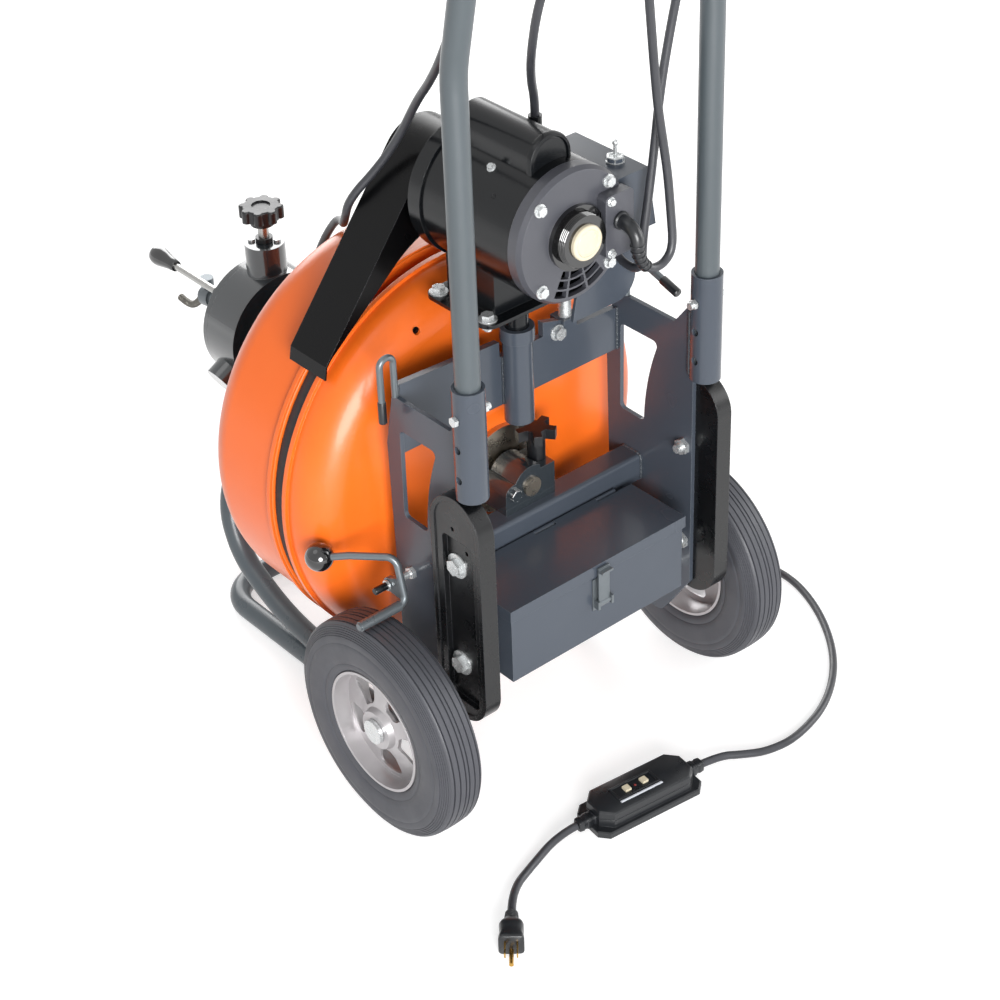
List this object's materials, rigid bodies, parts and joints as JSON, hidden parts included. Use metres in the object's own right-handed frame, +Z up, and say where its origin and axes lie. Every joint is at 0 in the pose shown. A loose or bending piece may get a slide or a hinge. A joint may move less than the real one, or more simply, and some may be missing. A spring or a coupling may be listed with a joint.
{
  "type": "drain cleaning machine",
  "caption": "Wheeled drain cleaning machine with a belt-driven cable drum, motor, cable feed, toolbox, wheel brake and bent push handle.",
  "frame": {"origin": "on the floor, midway between the handle bar at the back and the cable tip at the front, on the middle plane", "axes": "+X to the machine's right seen from behind, +Y forward towards the cable feed, +Z up"},
  "size_m": [0.6819, 0.9525, 1.2098],
  "materials": {
    "drum_paint": "gloss",
    "frame_paint": "gloss",
    "tube_paint": "satin",
    "black_paint": "gloss",
    "black_plastic": "matte",
    "cream_plastic": "gloss",
    "rubber": "matte",
    "tyre": "matte",
    "wheel_silver": "satin",
    "steel": "brushed",
    "zinc": "bright",
    "cast": "rough",
    "cord": "matte",
    "brass": "bright"
  },
  "bodies": {
    "frame": {"side_plate_left": "frame_paint", "side_plate_right": "frame_paint", "upper_cross_bar": "frame_paint", "lower_cross_tube": "frame_paint", "toolbox_body": "frame_paint", "handle": "tube_paint", "skid_tube": "black_paint", "feed_yoke": "black_paint", "motor_base": "black_paint", "motor_shell": "black_paint", "motor_front_bell": "black_paint", "motor_rear_bell": "black_paint", "capacitor_cover": "black_paint", "belt_guard": "black_paint", "switch_box": "black_paint", "stair_glide_left": "black_plastic", "stair_glide_right": "black_plastic", "terminal_cover": "black_plastic", "gfci_box": "black_plastic", "plug": "black_plastic", "motor_end_cap": "cream_plastic", "drive_belt": "rubber", "strain_relief": "rubber", "mains_cord": "cord", "switch_lead": "cord", "plug_lead": "cord", "axle": "steel", "nose_tube": "steel", "drain_cable": "steel", "cord_hooks": "steel", "latch_base": "steel", "hex_bolts": "zinc", "bearing_block": "cast", "feed_housing": "cast", "plug_pins": "brass"},
    "drum": {"drum_front": "drum_paint", "drum_rear": "drum_paint", "drum_shaft": "steel", "cable_coil": "steel"},
    "rotor": {"motor_rotor": "steel", "motor_pulley": "cast"},
    "wheel_left": {"tyre_left": "tyre", "wheel_hub_left": "wheel_silver"},
    "wheel_right": {"tyre_right": "tyre", "wheel_hub_right": "wheel_silver"},
    "brake": {"brake_lever": "steel", "brake_knob": "black_plastic"},
    "selector": {"feed_lever": "cast", "feed_lever_knob": "black_plastic"},
    "tension_screw": {"tension_knob": "black_plastic"},
    "roller_top": {"feed_roller_top": "steel"},
    "roller_left": {"feed_roller_left": "steel"},
    "roller_right": {"feed_roller_right": "steel"},
    "lid": {"toolbox_lid": "frame_paint"},
    "latch": {"lid_latch": "steel"},
    "switch_bat": {"toggle": "steel"},
    "clamp_knob": {"star_knob": "black_plastic"},
    "test_key": {"test_button": "cream_plastic"},
    "reset_key": {"reset_button": "cream_plastic"}
  },
  "joints": [
    {"name": "drum_spin", "type": "hinge", "parent": "frame", "child": "drum", "pos_m": [0, -0.06718, 0.3152], "axis": [0, 1, 0], "continuous": true},
    {"name": "motor_spin", "type": "hinge", "parent": "frame", "child": "rotor", "pos_m": [0, -0.23718, 0.645], "axis": [0, 1, 0], "continuous": true},
    {"name": "wheel_left_spin", "type": "hinge", "parent": "frame", "child": "wheel_left", "pos_m": [-0.222, -0.26718, 0.127], "axis": [1, 0, 0], "continuous": true},
    {"name": "wheel_right_spin", "type": "hinge", "parent": "frame", "child": "wheel_right", "pos_m": [0.222, -0.26718, 0.127], "axis": [1, 0, 0], "continuous": true},
    {"name": "brake_turn", "type": "hinge", "parent": "frame", "child": "brake", "pos_m": [-0.172, -0.23318, 0.272], "axis": [-1, 0, 0], "range_deg": [0, 40]},
    {"name": "feed_select", "type": "hinge", "parent": "frame", "child": "selector", "pos_m": [0, 0.24882, 0.3152], "axis": [0, 1, 0], "range_deg": [-20, 20]},
    {"name": "tension_turn", "type": "hinge", "parent": "frame", "child": "tension_screw", "pos_m": [0, 0.21882, 0.44], "axis": [0, 0, 1], "range_deg": [0, 720]},
    {"name": "roller_top_spin", "type": "hinge", "parent": "frame", "child": "roller_top", "pos_m": [0, 0.21882, 0.3353], "axis": [0, 1, 0], "continuous": true},
    {"name": "roller_left_spin", "type": "hinge", "parent": "frame", "child": "roller_left", "pos_m": [-0.01741, 0.21882, 0.30515], "axis": [0, 1, 0], "continuous": true},
    {"name": "roller_right_spin", "type": "hinge", "parent": "frame", "child": "roller_right", "pos_m": [0.01741, 0.21882, 0.30515], "axis": [0, 1, 0], "continuous": true},
    {"name": "lid_hinge", "type": "hinge", "parent": "frame", "child": "lid", "pos_m": [0, -0.26418, 0.266], "axis": [-1, 0, 0], "range_deg": [0, 90]},
    {"name": "latch_turn", "type": "hinge", "parent": "frame", "child": "latch", "pos_m": [0.002, -0.35718, 0.221], "axis": [1, 0, 0], "range_deg": [0, 120]},
    {"name": "toggle_flip", "type": "hinge", "parent": "frame", "child": "switch_bat", "pos_m": [0.09, -0.28318, 0.678], "axis": [1, 0, 0], "range_deg": [-14, 14]},
    {"name": "clamp_turn", "type": "hinge", "parent": "frame", "child": "clamp_knob", "pos_m": [0.025, -0.22718, 0.35], "axis": [0, 0, 1], "range_deg": [0, 720]},
    {"name": "test_press", "type": "slide", "parent": "frame", "child": "test_key", "axis": [0, 0, -1], "range_m": [0, 0.0025], "stiffness_N_per_m": 400},
    {"name": "reset_press", "type": "slide", "parent": "frame", "child": "reset_key", "axis": [0, 0, -1], "range_m": [0, 0.0025], "stiffness_N_per_m": 400}
  ],
  "couplings": [
    {"joint": "motor_spin", "follows": "drum_spin", "ratio": 8.937}
  ]
}
